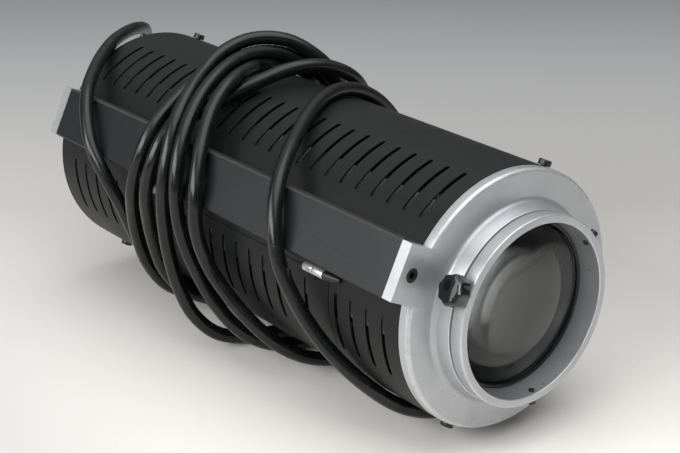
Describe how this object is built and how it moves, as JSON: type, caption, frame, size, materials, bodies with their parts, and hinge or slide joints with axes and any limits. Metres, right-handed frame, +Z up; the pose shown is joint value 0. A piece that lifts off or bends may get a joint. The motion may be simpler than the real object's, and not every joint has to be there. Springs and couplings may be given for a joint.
{
  "type": "studio flash head",
  "caption": "Drum-shaped studio flash head with a sliding lens barrel, a mounting rail and its cable wound round it.",
  "frame": {"origin": "middle of the mounting rail's flat outer face", "axes": "+X forward along the head's axis towards the lens, +Z up as the head lies on a table, +Y away from the side the rail is on"},
  "size_m": [0.5102, 0.2584, 0.2057],
  "materials": {
    "cast_silver": "silver-grey satin paint over a casting",
    "black_paint": "satin black paint",
    "rail_black": "satin black paint",
    "black_steel": "blackened steel",
    "bright_steel": "bright plated",
    "dark_steel": "dull steel",
    "knob_plastic": "glossy black",
    "lens_glass": "clear polished",
    "lamp_glass": "clear, slightly warm",
    "mirror_metal": "polished",
    "tray_metal": "zinc plated",
    "ceramic": "unglazed ceramic",
    "potting": "black casting resin",
    "cable_rubber": "smooth, a little glossy",
    "plug_plastic": "moulded black"
  },
  "bodies": {
    "head": {"access_door": "black_paint", "cable_gland": "black_steel", "casing_screw_front_1": "black_steel", "casing_screw_front_2": "black_steel", "casing_screw_front_3": "black_steel", "casing_screw_rear_1": "black_steel", "casing_screw_rear_2": "black_steel", "casing_screw_rear_3": "black_steel", "chassis_tray": "tray_metal", "condenser_holder": "tray_metal", "condenser_lens": "lens_glass", "cord_front_turn": "cable_rubber", "cord_lead": "cable_rubber", "cord_winding": "cable_rubber", "door_catch": "bright_steel", "flash_tube": "lamp_glass", "front_casting": "cast_silver", "gland_nut": "dark_steel", "hinge_front_fixed": "bright_steel", "hinge_front_lug": "black_steel", "hinge_front_moving": "bright_steel", "hinge_front_pin": "dark_steel", "hinge_rear_fixed": "bright_steel", "hinge_rear_lug": "black_steel", "hinge_rear_moving": "bright_steel", "hinge_rear_pin": "dark_steel", "housing_shell": "black_paint", "lamp_socket": "ceramic", "modelling_lamp": "lamp_glass", "mounting_rail": "rail_black", "plug_body": "plug_plastic", "plug_coupling_ring": "dark_steel", "plug_insert": "potting", "rail_screw_front": "black_steel", "rail_screw_rear": "black_steel", "rear_casting": "cast_silver", "reflector": "mirror_metal", "socket_bracket": "tray_metal", "strain_relief": "cable_rubber", "terminal_block": "ceramic", "trigger_coil": "potting"},
    "barrel": {"lens_barrel": "cast_silver", "front_lens": "lens_glass", "lens_retaining_ring": "black_steel", "ring_screw_1": "black_steel", "ring_screw_2": "black_steel"},
    "stud": {"clamp_stud": "dark_steel"},
    "knob": {"clamp_knob": "knob_plastic"}
  },
  "joints": [
    {"name": "focus_slide", "type": "slide", "parent": "head", "child": "barrel", "axis": [1, 0, 0], "range_m": [0, 0.025]},
    {"name": "knob_travel", "type": "slide", "parent": "barrel", "child": "stud", "axis": [0, -0.8988, 0.4384], "range_m": [-0.0012, 0.0032]},
    {"name": "knob_turn", "type": "hinge", "parent": "stud", "child": "knob", "pos_m": [0.21374, 0.02696, -0.01315], "axis": [0, -0.8988, 0.4384], "range_deg": [-540, 1440]}
  ],
  "couplings": [
    {"joint": "knob_turn", "follows": "knob_travel", "rad_per_m": 7854}
  ]
}
